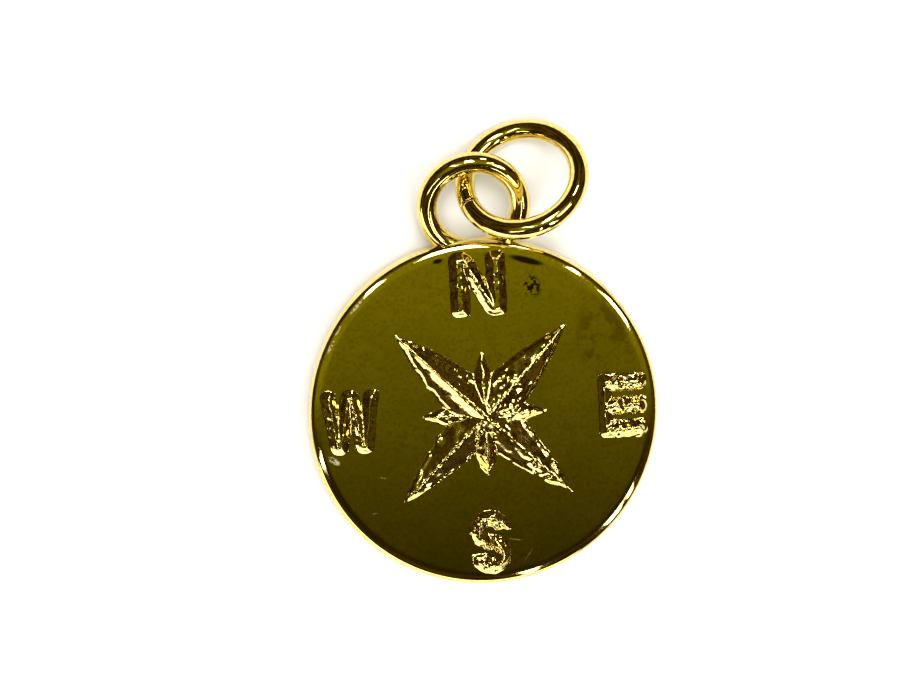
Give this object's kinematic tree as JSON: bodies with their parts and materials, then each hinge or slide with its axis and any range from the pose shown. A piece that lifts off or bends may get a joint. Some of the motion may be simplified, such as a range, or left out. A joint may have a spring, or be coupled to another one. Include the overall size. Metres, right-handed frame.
{
  "type": "compass pendant",
  "caption": "Round gold-plated compass pendant: a cast disc with a ridged compass star and cardinal letters in relief, a soldered loop and an open jump ring. It lies on its back.",
  "frame": {"origin": "centre of the disc's flat back", "axes": "+Z out of the front face, +Y towards north and the loop, +X towards east"},
  "size_m": [0.015, 0.0199, 0.004],
  "materials": {
    "disc_gold": "cast brass, gold plated, mirror polished, with glossy cast texture on the relief",
    "ring_gold": "drawn brass wire, gold plated, mirror polished"
  },
  "bodies": {
    "root": {"compass_disc": "disc_gold", "jump_ring": "ring_gold"}
  },
  "joints": []
}
